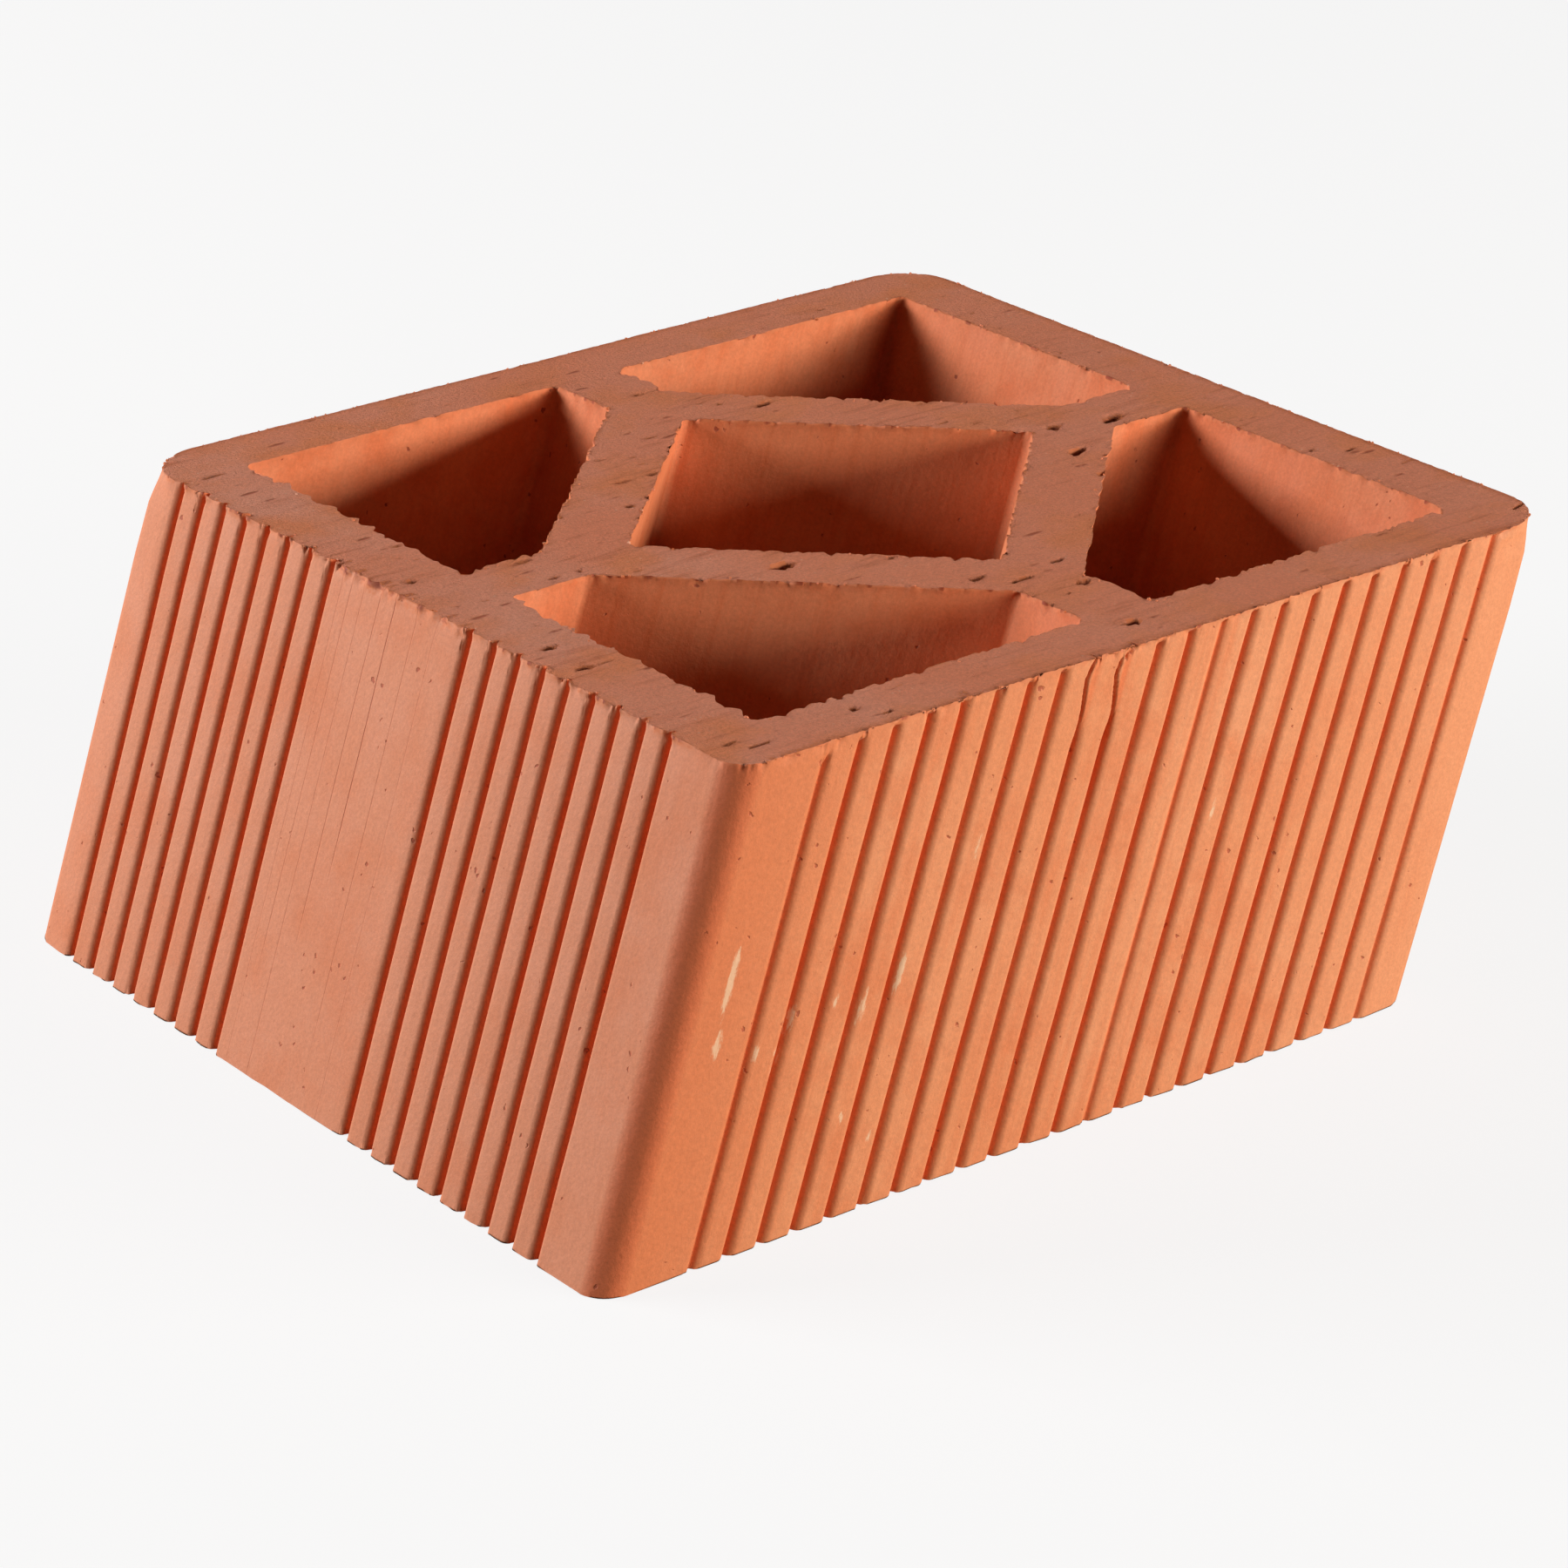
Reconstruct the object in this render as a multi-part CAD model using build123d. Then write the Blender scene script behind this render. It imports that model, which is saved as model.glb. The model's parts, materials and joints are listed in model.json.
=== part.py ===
from build123d import *
import os
from math import cos, radians, sqrt, tan

# Breeze block of fired clay, one extruded piece cut off at a slant by a wire.
# It lies on one of its two cut faces, with +Z up. X runs along the side that the
# cells lean towards, and Y along the upright side. The origin is under the middle
# of the block, on the floor. Lengths are in millimetres.

# Block
side = 170.0  # each side of the square cut face, over the rib crests
depth = 81.0  # square distance between the two cut faces
lean_angle = 19.0  # degrees that the extruded length leans towards +X
corner_radius = 5.5  # round on the four long outer corners

# Cells
frame_wall = 13.0  # outer wall, from the rib crests to the corner cells
cell_half_diagonal = 43.5  # centre of the block to each point of the middle cell
diagonal_wall = 13.5  # wall round the middle cell, measured square to it
spoke = 13.5  # four webs from the points of the middle cell to the outer wall
cell_round = 1.6  # inner corners of all the cells

# Keying grooves, which run the whole extruded length
groove_count = 22  # grooves on a side
groove_pitch = 6.6
first_groove = 17.5  # from the near long corner to the centre of the first groove
plain_depth = 1.4  # grooves on three of the sides
plain_flank_angle = 62.0  # degrees between a groove's flank and the block's side
plain_floor_round = 0.25
plain_rib_round = 1.5
deep_depth = 2.0  # grooves on the side with the smooth band, which are also steeper
deep_flank_angle = 70.0
deep_floor_round = 0.25
deep_rib_round = 1.3
band_start = 9  # grooves between the near corner and the smooth band
band_grooves = 5  # grooves left out to make room for the band

half = side / 2
diagonal_reach = cell_half_diagonal + diagonal_wall * sqrt(2)
inner_half = half - frame_wall


def groove_centres(kept):
    """Places of the kept grooves along a side, measured from the middle of the side."""
    return [first_groove + number * groove_pitch - half for number in kept]


def outline():
    """The square with its rounded long corners, before the grooves are taken out."""
    return RectangleRounded(side, side, corner_radius)


def groove_cutter(depth_in, flank_angle, floor_round, rib_round):
    """The clay that one groove leaves out: open towards +Y, with its mouth on the X axis.

    It is a V with its point rounded to the groove's floor, and its rims rounded to the ribs.
    """
    flank = radians(flank_angle)
    point_depth = depth_in + floor_round * (1 / cos(flank) - 1)
    half_mouth = point_depth / tan(flank)
    reach = half_mouth + 2 * rib_round * tan(flank / 2)
    bed = FilletPolyline(
        (-reach, 0),
        (-half_mouth, 0),
        (0, -point_depth),
        (half_mouth, 0),
        (reach, 0),
        radius=[rib_round, floor_round, rib_round],
    )
    lid = Polyline((reach, 0), (reach, depth_in), (-reach, depth_in), (-reach, 0))
    return make_face(bed + lid)


def comb(groove, kept):
    """A row of grooves across a side whose face looks along +Y."""
    return [Pos(place, half) * groove for place in groove_centres(kept)]


def corner_cell():
    """The five-sided cell in the +X +Y corner."""
    near = spoke / 2
    points = [
        (near, diagonal_reach - near),
        (near, inner_half),
        (inner_half, inner_half),
        (inner_half, near),
        (diagonal_reach - near, near),
    ]
    cell = make_face(Polyline(*points, close=True))
    return fillet(cell.vertices(), cell_round)


def middle_cell():
    """The square cell in the middle, standing on its point."""
    across = cell_half_diagonal * sqrt(2)
    cell = Rot(0, 0, 45) * Rectangle(across, across)
    return fillet(cell.vertices(), cell_round)


def section():
    """The block as it shows on a cut face."""
    every_groove = range(groove_count)
    banded = [n for n in every_groove if not band_start <= n < band_start + band_grooves]
    plain = groove_cutter(plain_depth, plain_flank_angle, plain_floor_round, plain_rib_round)
    deep = groove_cutter(deep_depth, deep_flank_angle, deep_floor_round, deep_rib_round)
    plain_row = comb(plain, every_groove)
    face = outline()
    face -= plain_row
    face -= [mirror(groove, about=Plane.XZ) for groove in plain_row]
    face -= [Rot(0, 0, -90) * mirror(groove, about=Plane.YZ) for groove in plain_row]
    face -= [Rot(0, 0, 90) * groove for groove in comb(deep, banded)]
    face -= middle_cell()
    face -= [Rot(0, 0, 90 * turn) * corner_cell() for turn in range(4)]
    return face


def breeze_block():
    """The section pushed up along the slant, with its middle over the origin at half height."""
    shift = depth * tan(radians(lean_angle))
    start = Pos(-shift / 2, 0, 0) * section()
    slant = Vector(shift, 0, depth)
    return extrude(start, amount=slant.length, dir=slant.normalized())


os.makedirs("parts", exist_ok=True)
export_step(breeze_block(), "parts/breeze_block.step")
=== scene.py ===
import bpy
import json
import math
import random
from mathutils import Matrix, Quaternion, Vector, noise
from mathutils.kdtree import KDTree

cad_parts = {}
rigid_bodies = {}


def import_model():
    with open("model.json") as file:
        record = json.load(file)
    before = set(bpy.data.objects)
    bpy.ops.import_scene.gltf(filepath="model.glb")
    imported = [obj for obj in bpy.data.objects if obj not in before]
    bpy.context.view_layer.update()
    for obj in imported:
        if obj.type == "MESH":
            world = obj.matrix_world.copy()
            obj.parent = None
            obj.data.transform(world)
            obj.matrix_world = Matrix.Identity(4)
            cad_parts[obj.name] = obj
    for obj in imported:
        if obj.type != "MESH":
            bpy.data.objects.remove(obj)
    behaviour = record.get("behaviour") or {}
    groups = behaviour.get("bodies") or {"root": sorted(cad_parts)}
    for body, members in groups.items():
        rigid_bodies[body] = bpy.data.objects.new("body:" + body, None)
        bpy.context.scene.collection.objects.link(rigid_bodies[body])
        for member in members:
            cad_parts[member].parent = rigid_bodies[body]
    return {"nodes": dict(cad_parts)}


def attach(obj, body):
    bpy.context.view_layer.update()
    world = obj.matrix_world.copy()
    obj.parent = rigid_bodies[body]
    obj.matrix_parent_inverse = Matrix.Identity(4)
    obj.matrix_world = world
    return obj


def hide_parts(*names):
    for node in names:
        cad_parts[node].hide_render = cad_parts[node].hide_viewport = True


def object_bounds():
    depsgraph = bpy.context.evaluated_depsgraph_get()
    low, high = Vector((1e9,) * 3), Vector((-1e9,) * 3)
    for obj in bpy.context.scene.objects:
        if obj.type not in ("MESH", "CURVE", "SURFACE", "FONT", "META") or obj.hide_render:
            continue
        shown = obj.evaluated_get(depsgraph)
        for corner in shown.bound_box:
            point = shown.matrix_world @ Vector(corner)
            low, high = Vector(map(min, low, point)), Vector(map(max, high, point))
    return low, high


# Breeze block of fired clay on a pale floor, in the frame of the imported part. The scene is in metres.
# Places on the block are given in millimetres in its leaning section: u across it, v along Y, and the
# height z or the drop below the upper cut face.
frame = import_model()
cadLow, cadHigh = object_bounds()
mm = 0.001

block = {
    "side": 0.170,
    "depth": 0.081,
    "slope": math.tan(math.radians(19)),  # how far the clay leans towards +X as it rises
    "halfSide": 85.0,  # this and the rest are in millimetres
    "top": 81.0,
    "outerSkin": 82.6,  # walls further out than this are the grooved sides
    "sideEnd": 79.4,  # and this far along, a side gives way to its long corner
    "touching": 0.01,  # a point this near a cut face lies on it
}

# the grooves along each side in millimetres, and the places between grooves where the smooth band lies
grooves = {"first": -67.5, "pitch": 6.6, "count": 22, "bandFrom": 8.5, "bandTo": 13.5}

cuts = {
    "upperGrid": 222,  # squares along a side of the upper cut face
    "wallGrid": 14,  # and of the walls and the lower cut face
    "upperBand": 2.0 * mm,  # height of the walls under the upper rims that is cut as finely
    "bandLevels": (0.3 * mm, 0.7 * mm, 1.25 * mm),  # level cuts, as drops below the upper face
    "rimLevels": (2.9 * mm, 4.2 * mm, 6.4 * mm),
    "wallLevel": 8.8 * mm,  # height between the cuts below those
    "lowestLevel": 5.0 * mm,
    "footLevels": (0.4 * mm, 1.6 * mm),
    "ribCrest": 84.9,  # walls further out than this are the ribs' crests
    "tearPatches": ((-18.2, -12.6), (-11.6, -5.6)),  # u of the two torn grooves at the front
    "tearTall": 17.0,
    "tearGrid": (0.21, 0.8),
    "tearRow": 3,  # the first row of that grid that the levels above don't cut already
}


def selectOnly(piece):
    bpy.ops.object.select_all(action="DESELECT")
    piece.select_set(True)
    bpy.context.view_layer.objects.active = piece


def section(point):
    # millimetres across the block, with the lean taken out
    return (
        (point.x - block["slope"] * (point.z - block["depth"] / 2)) * 1000,
        point.y * 1000,
    )


def leaning(u, v, z):
    # and back from there to a place in the scene
    return Vector((u * mm + block["slope"] * (z * mm - block["depth"] / 2), v * mm, z * mm))


def levelOf(point):
    # millimetres below the upper cut face, and above the lower one
    return (block["depth"] - point.z) * 1000, point.z * 1000


def sliceAt(point, normal):
    bpy.ops.mesh.select_all(action="SELECT")
    bpy.ops.mesh.bisect(plane_co=point, plane_no=normal)


def sliceGrid(squares):
    # upright planes across Y, and planes that lean with the clay across X
    for number in range(1, squares):
        place = (number / squares - 0.5) * block["side"]
        sliceAt((0, place, 0), (0, 1, 0))
        sliceAt((place, 0, block["depth"] / 2), (1, 0, -block["slope"]))


def sliceLevels(drops):
    for drop in drops:
        sliceAt((0, 0, block["depth"] - drop), (0, 0, 1))


def showOnly(piece, wanted):
    # hides every face that isn't wanted, so that the next cuts pass it by
    bpy.ops.object.mode_set(mode="OBJECT")
    mesh = piece.data
    mesh.vertices.foreach_set("select", [False] * len(mesh.vertices))
    mesh.edges.foreach_set("select", [False] * len(mesh.edges))
    mesh.polygons.foreach_set("select", [wanted(face) for face in mesh.polygons])
    bpy.ops.object.mode_set(mode="EDIT")
    bpy.ops.mesh.hide(unselected=True)


def showAll():
    bpy.ops.mesh.reveal(select=False)


def sliceRibs(piece):
    # a cut down the middle of each rib beside the smooth band
    floor = block["depth"] - cuts["upperBand"]
    showOnly(piece, lambda face: face.center.z < floor and section(face.center)[0] < -cuts["ribCrest"])
    for number in range(grooves["count"]):
        middle = grooves["first"] + grooves["pitch"] * (number + 0.5)
        sliceAt((0, middle * mm, 0), (0, 1, 0))
    showAll()


def sliceTear(piece, low, high):
    # a fine grid over the upper end of a torn groove at the front
    floor = block["depth"] - cuts["tearTall"] * mm
    across, down = cuts["tearGrid"]

    def inPatch(face):
        u, v = section(face.center)
        return face.center.z > floor and v < -block["outerSkin"] and low < u < high

    showOnly(piece, inPatch)
    for number in range(1, int((high - low) / across)):
        place = leaning(low + number * across, -block["halfSide"], block["top"])
        sliceAt(place, (1, 0, -block["slope"]))
    rows = range(cuts["tearRow"], int(cuts["tearTall"] / down))
    sliceLevels([number * down * mm for number in rows])
    showAll()


def wallLevels():
    # drops of the level cuts from the upper rims to the foot
    levels = list(cuts["rimLevels"])
    drop = levels[-1] + cuts["wallLevel"]
    while drop < block["depth"] - cuts["lowestLevel"]:
        levels.append(drop)
        drop += cuts["wallLevel"]
    return levels + [block["depth"] - foot for foot in cuts["footLevels"]]


def cutBlock(cadNode):
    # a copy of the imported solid, merged and cut finely enough to be worn
    selectOnly(cadNode)
    bpy.ops.object.duplicate()
    piece = bpy.context.object
    piece.name = piece.data.name = "firedBlock"
    bpy.ops.object.parent_clear(type="CLEAR_KEEP_TRANSFORM")
    for key in list(piece.keys()):
        del piece[key]
    floor = block["depth"] - cuts["upperBand"]
    bpy.ops.object.mode_set(mode="EDIT")
    bpy.ops.mesh.select_mode(type="FACE")
    bpy.ops.mesh.select_all(action="SELECT")
    bpy.ops.mesh.remove_doubles(threshold=1e-6)
    bpy.ops.mesh.dissolve_limited(angle_limit=math.radians(1))
    sliceLevels([cuts["upperBand"]])
    showOnly(piece, lambda face: face.center.z > floor)
    sliceGrid(cuts["upperGrid"])
    sliceLevels(cuts["bandLevels"])
    showAll()
    sliceLevels(wallLevels())
    showOnly(piece, lambda face: face.center.z < floor)
    sliceGrid(cuts["wallGrid"])
    showAll()
    sliceRibs(piece)
    for low, high in cuts["tearPatches"]:
        sliceTear(piece, low, high)
    bpy.ops.object.mode_set(mode="OBJECT")
    return piece


def wave(u, v, layer=0.0):
    # smooth noise around zero; each pattern of wear reads a layer of its own
    return noise.noise(Vector((u, v, layer)))


def smooth(value, low=0.0, high=1.0):
    t = min(1.0, max(0.0, (value - low) / (high - low)))
    return t * t * (3 - 2 * t)


def bump(distance, wide):
    return math.exp(-((distance / wide) ** 2))


# the wire-cut faces, in millimetres
cutFaces = {
    "settle": 0.30,  # the upper face lies this far inside, so that burrs have room
    "settleReach": 7.2,  # the walls' points follow it, less and less, down to here
    "lowerSettle": 0.2,  # what is left out of the same depth at the lower face
    "dragTurn": -0.035,  # the wire's path, off the X axis
    "dragWide": (26.0, 4.2, 0.05),  # along, across, height
    "dragFine": (9.0, 1.5, 0.025),
    "uneven": (24.0, 0.12),  # size, height
    "grain": (1.6, 0.05),
    "lowerShift": 400,  # takes the lower face's patterns from another place of the noise
}

# the rims of those faces
rims = {
    "reach": 7.5,  # how far below the upper face the wear goes
    "footReach": 3.2,  # and above the lower one
    "biteSize": (2.6, 0.9),
    "biteDeep": 0.75,
    "burrSize": (1.4, 0.6),
    "burrHigh": 0.5,
    "outerFrom": 81,  # rims further out than this are the sides', and the far ones are cleaner
    "farBite": 0.3,
    "farBurr": 0.06,
    "cornerFrom": 77,  # both ways; the burrs are low there
    "cornerBurr": 0.25,
    "overhang": 1.5,  # how far dragged clay hangs over a cell
    "overhangSize": (3.6, 1.3),
    "overhangTo": 76,  # cells end here
    "overhangFull": -60,  # cells' rims at a smaller u have all of it
    "overhangElsewhere": 0.35,
    "crumbsWithin": 1.0,  # how near a rim the loose crumbs lie
}

# how far the ribs wander along a side, and how far the cells' walls are from flat
walls = {"sway": 0.16, "swayTall": 15, "hollow": 0.22, "hollowSize": (16, 19), "hollowTo": 74}

corners = {"drawn": 5.5, "round": 8.0, "atTop": 3.0, "topReach": 5.0, "from": 0.45}  # radii
crown = {"drop": 0.12, "deep": 1.2}  # how far the banded side's ribs fall off towards their near edge
# the smooth band between two values of v, with torn clay this tall and deep along its upper edge
band = {"low": -12.9, "high": 23.1, "tall": 2.3, "deep": 0.4}

# clay dragged over the grooves' upper ends on each side: the share that it fills, and how far down
smears = {
    ("Y", -1): (0.97, 1.1),
    ("Y", 1): (0.92, 2.4),
    ("X", -1): (0.30, 1.2),
    ("X", 1): (0.92, 2.4),
}
mostFilled = 0.97
grooveMouth = 1.8  # half its width
# grooves of the front whose upper ends are closed further down, and those that are shallow all along
deepClosings = {0: 4.4, 1: 2.4, 2: 1.5, 3: 1.2, 14: 1.6, 19: 2.6}
shallowGrooves = {0: 0.25, 12: 0.42, 20: 0.12, 21: 0.34}

# two grooves of the front are squeezed shut at the top: the groove, then its crack's u at heights z
tears = [
    (8, ((64.0, -14.6), (69.2, -14.9), (73.0, -15.3), (77.5, -16.2), (79.6, -15.9), (81.0, -15.2))),
    (9, ((62.0, -8.0), (67.8, -7.8), (73.0, -8.8), (77.2, -9.9), (79.2, -9.5), (80.0, -8.2), (81.0, -7.0))),
]
tearShape = {
    "reach": 3.1,  # to either side of the groove's middle
    "opens": (66.0, 72.0),  # heights between which the groove closes
    "wide": 0.25,
    "deep": 1.9,
    "deepest": 1.6,
    "lip": 0.075,
    "lipWide": 0.9,
    "tornWide": 0.5,
}

# pits torn by grit under the wire, seen in the upper face: u, v, length, width, depth
seenPits = [
    (48, 0, 4.2, 2.2, 0.9),
    (43, -12, 5.0, 2.4, 1.1),
    (39, -23, 2.6, 1.6, 0.7),
    (7, -49, 3.4, 1.5, 0.7),
    (4, -59, 3.4, 2.0, 0.9),
    (-1, -77, 4.6, 2.2, 0.9),
    (-3, -52, 6.0, 1.3, 0.7),
    (-8, -47, 5.5, 1.6, 0.5),
    (59, -3, 6.5, 2.6, 1.0),
    (-80, -76, 3.5, 1.2, 0.5),
    (-76, -79, 6.5, 0.9, 0.5),
    (-57, -77, 3.4, 1.6, 0.6),
    (-54, -81, 2.8, 1.1, 0.5),
    (-79, 71, 7.5, 1.0, 0.6),
    (-72, 68, 3.0, 0.9, 0.4),
    (-79, -28, 4.0, 2.0, 0.8),
    (4, 12, 3.0, 1.4, 0.5),
    (-80, 9, 3.4, 1.6, 0.8),
    (-73, 24, 2.0, 1.5, 0.5),
    (-61, 5, 6.5, 1.3, 0.6),
    (-61, -4, 3.5, 1.2, 0.5),
    (-56, -4, 1.8, 1.6, 0.6),
    (-26, 25, 4.5, 2.0, 0.4),
    (-79, -38, 5.0, 2.4, 0.7),
    (-29, -23, 5.5, 2.8, 1.2),
    (-20, 25, 3.4, 1.6, 0.6),
    (-32, 15, 3.0, 1.8, 0.6),
    (16, 41, 4.4, 1.8, 0.8),
    (10, 46, 2.2, 1.4, 0.6),
    (2, 59, 3.5, 1.5, 0.6),
    (-10, 40, 4.5, 1.2, 0.4),
    (-23, 36, 3.0, 1.5, 0.5),
]
# and small ones strewn between them
strayPits = {
    "count": 150,
    "seed": 31,
    "within": 84,
    "length": (0.9, 4.4),
    "width": (0.5, 1.2),
    "depth": (0.1, 0.45),
}


def rimsOf(piece, level):
    # the rim's points at a cut face, each with the level direction that its wall looks in
    mesh = piece.data
    onLevel = [abs(v.co.z - level) < block["touching"] * mm for v in mesh.vertices]
    looks = {}
    for face in mesh.polygons:
        if abs(face.normal.z) < 0.9:
            across = Vector((face.normal.x, face.normal.y, 0)).normalized()
            for index in face.vertices:
                if onLevel[index]:
                    looks[index] = looks.get(index, Vector()) + across
    tree = KDTree(len(looks))
    for index in looks:
        tree.insert(mesh.vertices[index].co, index)
    tree.balance()
    return {index: look.normalized() for index, look in looks.items()}, tree


def cutDepth(u, v):
    # how far a point of a cut face lies under the plane of the cut
    across = v - cutFaces["dragTurn"] * u
    deep = cutFaces["settle"]
    for name, layer in (("dragWide", 3), ("dragFine", 8)):
        along, wide, high = cutFaces[name]
        deep += high * wave(u / along, across / wide, layer)
    for name, layer in (("uneven", 14), ("grain", 21)):
        size, high = cutFaces[name]
        deep += high * wave(u / size, v / size, layer)
    return deep


def onFarRim(u, v):
    return u > rims["outerFrom"] or v > rims["outerFrom"]


def biteAt(u, v):
    # chips broken out of a rim
    coarse, fine = rims["biteSize"]
    chips = 0.6 * wave(u / coarse, v / coarse, 31) + 0.4 * wave(u / fine, v / fine, 37)
    return smooth(chips, -0.05, 0.55) * (rims["farBite"] if onFarRim(u, v) else 1.0)


def burrAt(u, v, look):
    # the wire left each wall at its -X side and dragged clay over that rim
    coarse, fine = rims["burrSize"]
    leaves = max(0.0, -look.x) + 0.45 * abs(look.y) + 0.12
    if onFarRim(u, v):
        leaves = rims["farBurr"]
    if min(abs(u), abs(v)) > rims["cornerFrom"]:
        leaves *= rims["cornerBurr"]
    ragged = 0.5 + 0.7 * wave(u / coarse, v / coarse, 43) + 0.5 * wave(u / fine, v / fine, 47)
    return min(1.0, leaves) * smooth(ragged, 0.1, 1.0)


def overhangAt(u, v, look):
    # scallops of clay pushed over the cells' -X rims, and bites out of the opposite ones
    if max(abs(u), abs(v)) > rims["overhangTo"]:
        return 0.0
    coarse, fine = rims["overhangSize"]
    lumps = wave(u / coarse, v / coarse, 61) + 0.22 * wave(u / fine, v / fine, 67)
    scallops = smooth(lumps, -0.2, 0.55)
    most = rims["overhang"] * (1.0 if u < rims["overhangFull"] else rims["overhangElsewhere"])
    return most * (max(0.0, look.x) * scallops - 0.3 * max(0.0, -look.x) * (1 - scallops))


def sideOf(u, v):
    # the grooved side that a point lies on, how far along it, and how deep in its grooves the point is
    if max(abs(u), abs(v)) < block["outerSkin"] or min(abs(u), abs(v)) > block["sideEnd"]:
        return None, 0.0, 0.0
    inside = block["halfSide"] - max(abs(u), abs(v))
    if abs(u) > abs(v):
        return ("X", 1 if u > 0 else -1), v, inside
    return ("Y", 1 if v > 0 else -1), u, inside


def roundOff(u, v, drop):
    # three of the long corners are rounder than the fourth, and roundest at the top
    if u < 0 and v < 0:
        return Vector()
    target = corners["round"] + corners["atTop"] * bump(drop, corners["topReach"])
    low = corners["from"]
    step = target - corners["drawn"]
    centre = block["halfSide"] - target
    across, along = abs(u) - centre, abs(v) - centre
    reach = math.hypot(across, along)
    if across <= 0 or along <= 0 or reach < low * target:
        return Vector()
    c, s = across / reach, along / reach
    skin = target / max(c, s)  # how far out the drawn clay lies in this direction
    if skin * min(c, s) > step:
        slant = step * (c + s)
        skin = slant + math.sqrt(slant ** 2 - 2 * step * step + corners["drawn"] ** 2)
    inwards = (1 - target / skin) * smooth(reach / skin, low, 1.0) * reach
    return Vector((-math.copysign(c, u), -math.copysign(s, v), 0)) * inwards


def crackPlace(line, height):
    # the crack's u at a height
    for (lowZ, lowU), (highZ, highU) in zip(line, line[1:]):
        if height <= highZ:
            return lowU + (highU - lowU) * (height - lowZ) / (highZ - lowZ)
    return line[-1][1]


def tornGroove(along, height, inside, crack):
    # how far a wall moves outwards where its groove is squeezed shut round a crack, and how torn it is
    number, line = crack
    centre = grooves["first"] + grooves["pitch"] * number
    foot = line[0][0]
    if abs(along - centre) > tearShape["reach"] or height < foot:
        return None
    offCrack = along - crackPlace(line, height)
    opens = tearShape["opens"]
    shut = smooth(height, *opens)
    gape = tearShape["deep"] * bump(offCrack, tearShape["wide"]) * smooth(height, foot, opens[0])
    lip = tearShape["lip"] * bump(offCrack + tearShape["lipWide"], tearShape["lipWide"]) * shut
    return inside * mostFilled * shut + lip - gape, bump(offCrack, tearShape["tornWide"]) * shut


def closingAt(side, along, drop, inside):
    # how far clay dragged over a groove's upper end, or left in the groove, moves its wall outwards
    share, reach = smears[side]
    number = round((along - grooves["first"]) / grooves["pitch"])
    across = (along - grooves["first"] - grooves["pitch"] * number) / grooveMouth
    left = 0.0
    if side == ("Y", -1):
        chance = wave(number * 0.77 + 0.3, 9.5, -3.3)
        reach = deepClosings.get(number, reach * (0.9 + 1.6 * chance))
        reach *= 0.62 + 0.38 * across + 0.25 * wave(along / 0.9, number, 71)
        left = shallowGrooves.get(number, 0.0)
        fade = 1 - smooth(drop, reach - 0.25, reach + 0.35)
    else:
        fade = 1 - smooth(drop, 0.25 * reach, reach)
    ragged = share * (1 + 1.8 * (1 - share) * wave(along / 3.1, drop / 2.0, 53))
    return inside * max(left, min(mostFilled, max(0.0, ragged)) * fade)


def wearUpperRim(wear, index, point, upperRims):
    # settles the upper face, bites and burrs its rims and hangs clay over the cells
    drop, height = levelOf(point)
    onFace = drop < block["touching"]
    lifted = Vector((point.x + block["slope"] * (block["depth"] - point.z), point.y, block["depth"]))
    looks, tree = upperRims
    near, rimIndex, gap = tree.find(lifted)
    gap *= 1000
    settled = cutDepth(*section(point if onFace else near))
    wear["moved"][index].z -= settled * max(0.0, 1 - drop / cutFaces["settleReach"])
    u, v = section(near)
    look = looks[rimIndex]
    burr = burrAt(u, v, look)
    onBand = u < -rims["outerFrom"] and band["low"] < v < band["high"]
    crumbly = 2.6 if onBand else 1.0  # the band's upper edge is torn the most
    wear["bulged"][index] -= rims["biteDeep"] * biteAt(u, v) * bump(gap, 0.8) * bump(drop, 0.9)
    wear["bulged"][index] += rims["burrHigh"] * burr * bump(gap, 0.45) * bump(drop, 0.55 * crumbly)
    hung = overhangAt(u, v, look)
    hangs = max(0.0, 1 - drop / (1.6 if hung > 0 else 3.2))
    wear["moved"][index] += look * hung * bump(gap, 1.3) * hangs
    wear["torn"][index] = bump(gap, 0.5) * bump(drop, 0.8 * crumbly) * (0.25 + 0.7 * burr)
    if onFace:
        wear["upperFace"].insert(point, index)
        if gap < rims["crumbsWithin"]:
            wear["rimPoints"].append(index)


def wearLowerRim(wear, index, point, lowerRims):
    # bites the lower rims and roughens the lower face, which stays inside the block
    drop, height = levelOf(point)
    lowered = Vector((point.x - block["slope"] * point.z, point.y, 0))
    near, rimIndex, gap = lowerRims[1].find(lowered)
    shift = cutFaces["lowerShift"]
    u, v = section(near)
    bitten = rims["biteDeep"] * biteAt(u + shift, v)
    wear["bulged"][index] -= bitten * bump(gap * 1000, 0.9) * bump(height, 1.0)
    if height < block["touching"]:
        u, v = section(point)
        wear["moved"][index].z += max(0.0, cutDepth(u + shift, v) - cutFaces["lowerSettle"])


def wearTears(wear, index, along, height, inside, pushed):
    # the two squeezed grooves at the front
    for crack in tears:
        squeezed = tornGroove(along, height, inside, crack)
        if squeezed:
            outwards, tornHere = squeezed
            if outwards < 0 or height > tearShape["opens"][0]:
                pushed = max(outwards, -tearShape["deepest"])
            wear["torn"][index] = max(wear["torn"][index], 0.9 * tornHere)
    return pushed


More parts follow.
